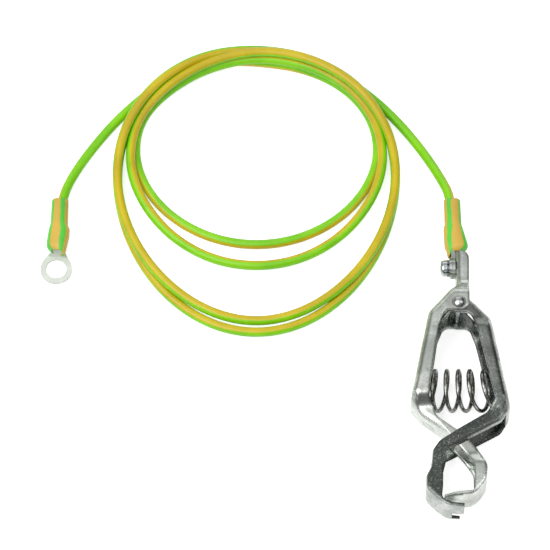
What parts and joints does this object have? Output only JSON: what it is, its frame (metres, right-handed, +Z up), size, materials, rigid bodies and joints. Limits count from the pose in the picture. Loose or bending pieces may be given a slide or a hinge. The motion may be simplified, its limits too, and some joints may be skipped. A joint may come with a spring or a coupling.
{
  "type": "ground clamp",
  "caption": "Crossed-arm pressed-steel spring clip with an earth lead coiled beside it, screwed to its tail, and a ring terminal at the lead's far end.",
  "frame": {"origin": "On the surface that the clip lies on, under the middle of the clip's own box, without the free lead, the coil and the far terminal.", "axes": "+Z up along the hinge rivet, +Y from the jaws to the tail screw, +X across the clip. The lead and its coil lie on the -X side."},
  "size_m": [0.1903, 0.2134, 0.023],
  "materials": {
    "plated_steel": "zinc plated, scuffed",
    "rivet_steel": "bright",
    "spring_steel": "dark, shiny",
    "screw_zinc": "bright zinc",
    "washer_zinc": "bright zinc",
    "tinned_copper": "tinned",
    "bare_copper": "bare stranded copper",
    "sleeve_striped": "green and yellow striped heat-shrink",
    "lead_striped": "green and yellow striped insulation"
  },
  "bodies": {
    "tail_arm": {"left_arm": "plated_steel", "hinge_rivet": "rivet_steel", "handle_spring": "spring_steel", "clip_lug": "tinned_copper", "clip_sleeve": "sleeve_striped", "clip_end_strands": "bare_copper", "terminal_screw": "screw_zinc", "lock_washer": "washer_zinc", "flat_washer": "washer_zinc", "terminal_nut": "screw_zinc", "ring_terminal": "tinned_copper", "ring_sleeve": "sleeve_striped", "ring_end_strands": "bare_copper", "lead_at_clip": "lead_striped", "lead_at_ring": "lead_striped", "lead_coil": "lead_striped"},
    "slotted_arm": {"right_arm": "plated_steel"}
  },
  "joints": [
    {"name": "squeeze", "type": "hinge", "parent": "tail_arm", "child": "slotted_arm", "pos_m": [0, 0.019, 0.01115], "axis": [0, 0, -1], "range_deg": [0, 15], "stiffness_Nm_per_rad": 3, "springref_deg": -28.65, "deforming": ["handle_spring"]}
  ]
}
